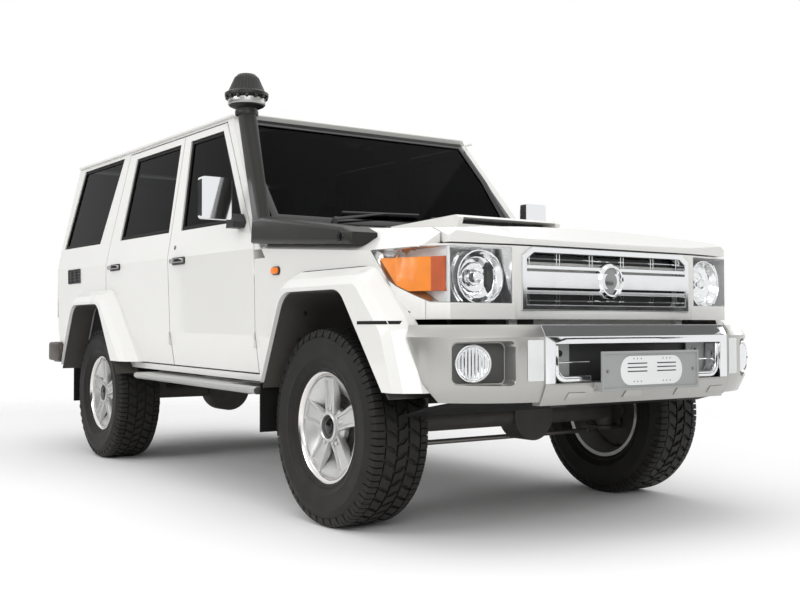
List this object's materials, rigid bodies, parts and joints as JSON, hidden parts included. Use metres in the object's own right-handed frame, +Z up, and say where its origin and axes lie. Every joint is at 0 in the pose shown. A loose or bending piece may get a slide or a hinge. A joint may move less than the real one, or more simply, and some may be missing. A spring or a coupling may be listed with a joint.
{
  "type": "four-wheel-drive station wagon",
  "caption": "Boxy off-road station wagon with hinged doors, lifting bonnet, steered and rolling wheels, raised air intake and a spare wheel on the rear door.",
  "frame": {"origin": "on the ground under the middle of the overall length, on the centre plane", "axes": "+X forward, +Y to the vehicle's left, +Z up"},
  "size_m": [4.87, 2.066, 1.942],
  "materials": {
    "paint": "gloss",
    "glass": "gloss",
    "chrome": "polished",
    "lamp": "clear",
    "tail_lamp": "gloss",
    "silver": "satin",
    "black": "satin",
    "grey": "satin",
    "tyre": "matte",
    "alloy": "satin",
    "frame": "matte",
    "steel": "satin",
    "iron": "matte",
    "rubber": "matte",
    "trim": "matte",
    "fabric": "woven"
  },
  "bodies": {
    "chassis": {"chassis_frame": "frame", "floor_pan": "frame", "roof": "paint", "body_side_right": "paint", "body_side_left": "paint", "cowl": "black", "fixed_glass": "glass", "front_wings": "paint", "front_panel": "paint", "grille": "chrome", "headlamps": "lamp", "front_bumper": "chrome", "bumper_corners": "silver", "rear_bumper": "black", "tail_lamps": "tail_lamp", "side_steps": "alloy", "arch_flares": "paint", "mud_flaps": "rubber", "snorkel": "grey", "powertrain": "iron", "fuel_tank": "frame", "exhaust": "steel", "front_axle": "frame", "rear_axle": "frame", "springs": "frame", "dashboard": "trim", "seats": "fabric"},
    "front_door_right": {"door_front_right": "paint", "glass_front_right": "glass", "mirror_right": "chrome"},
    "rear_door_right": {"door_rear_right": "paint", "glass_rear_right": "glass"},
    "front_door_left": {"door_front_left": "paint", "glass_front_left": "glass", "mirror_left": "chrome"},
    "rear_door_left": {"door_rear_left": "paint", "glass_rear_left": "glass"},
    "rear_leaf_right": {"barn_door_right": "paint", "barn_glass_right": "glass", "spare_tyre": "tyre", "spare_rim": "alloy"},
    "rear_leaf_left": {"barn_door_left": "paint", "barn_glass_left": "glass"},
    "bonnet": {"bonnet": "paint"},
    "knuckle_right": {"knuckle_right": "iron"},
    "knuckle_left": {"knuckle_left": "iron"},
    "track_rod": {"track_rod": "steel"},
    "wheel_front_right": {"tyre_front_right": "tyre", "rim_front_right": "alloy"},
    "wheel_front_left": {"tyre_front_left": "tyre", "rim_front_left": "alloy"},
    "wheel_rear_right": {"tyre_rear_right": "tyre", "rim_rear_right": "alloy"},
    "wheel_rear_left": {"tyre_rear_left": "tyre", "rim_rear_left": "alloy"}
  },
  "joints": [
    {"name": "front_door_right_swing", "type": "hinge", "parent": "chassis", "child": "front_door_right", "pos_m": [0.8785, -0.845, 0.9], "axis": [0, 0, 1], "range_deg": [0, 65]},
    {"name": "rear_door_right_swing", "type": "hinge", "parent": "chassis", "child": "rear_door_right", "pos_m": [-0.1016, -0.845, 0.9124], "axis": [-0.0482, 0, 0.9988], "range_deg": [0, 65]},
    {"name": "rear_leaf_right_swing", "type": "hinge", "parent": "chassis", "child": "rear_leaf_right", "pos_m": [-2.015, -0.7715, 1], "axis": [0, 0, 1], "range_deg": [0, 95]},
    {"name": "front_door_left_swing", "type": "hinge", "parent": "chassis", "child": "front_door_left", "pos_m": [0.8785, 0.845, 0.9], "axis": [0, 0, -1], "range_deg": [0, 65]},
    {"name": "rear_door_left_swing", "type": "hinge", "parent": "chassis", "child": "rear_door_left", "pos_m": [-0.1016, 0.845, 0.9124], "axis": [0.0482, 0, -0.9988], "range_deg": [0, 65]},
    {"name": "rear_leaf_left_swing", "type": "hinge", "parent": "chassis", "child": "rear_leaf_left", "pos_m": [-2.015, 0.7715, 1], "axis": [0, 0, -1], "range_deg": [0, 95]},
    {"name": "bonnet_lift", "type": "hinge", "parent": "chassis", "child": "bonnet", "pos_m": [0.9585, 0, 1.24882], "axis": [0, -1, 0], "range_deg": [0, 55]},
    {"name": "steer_right", "type": "hinge", "parent": "chassis", "child": "knuckle_right", "pos_m": [1.53, -0.676, 0.3885], "axis": [0, 0, 1], "range_deg": [-32, 32]},
    {"name": "steer_left", "type": "hinge", "parent": "chassis", "child": "knuckle_left", "pos_m": [1.53, 0.676, 0.3885], "axis": [0, 0, 1], "range_deg": [-32, 32]},
    {"name": "track_rod_slide", "type": "slide", "parent": "chassis", "child": "track_rod", "axis": [0, 1, 0], "range_m": [-0.046, 0.046]},
    {"name": "wheel_front_right_roll", "type": "hinge", "parent": "knuckle_right", "child": "wheel_front_right", "pos_m": [1.53, -0.758, 0.3885], "axis": [0, 1, 0], "continuous": true},
    {"name": "wheel_rear_right_roll", "type": "hinge", "parent": "chassis", "child": "wheel_rear_right", "pos_m": [-1.2, -0.715, 0.3885], "axis": [0, 1, 0], "continuous": true},
    {"name": "wheel_front_left_roll", "type": "hinge", "parent": "knuckle_left", "child": "wheel_front_left", "pos_m": [1.53, 0.758, 0.3885], "axis": [0, 1, 0], "continuous": true},
    {"name": "wheel_rear_left_roll", "type": "hinge", "parent": "chassis", "child": "wheel_rear_left", "pos_m": [-1.2, 0.715, 0.3885], "axis": [0, 1, 0], "continuous": true}
  ],
  "couplings": [
    {"joint": "steer_left", "follows": "steer_right", "ratio": 1},
    {"joint": "track_rod_slide", "follows": "steer_right", "m_per_rad": -0.0807}
  ]
}
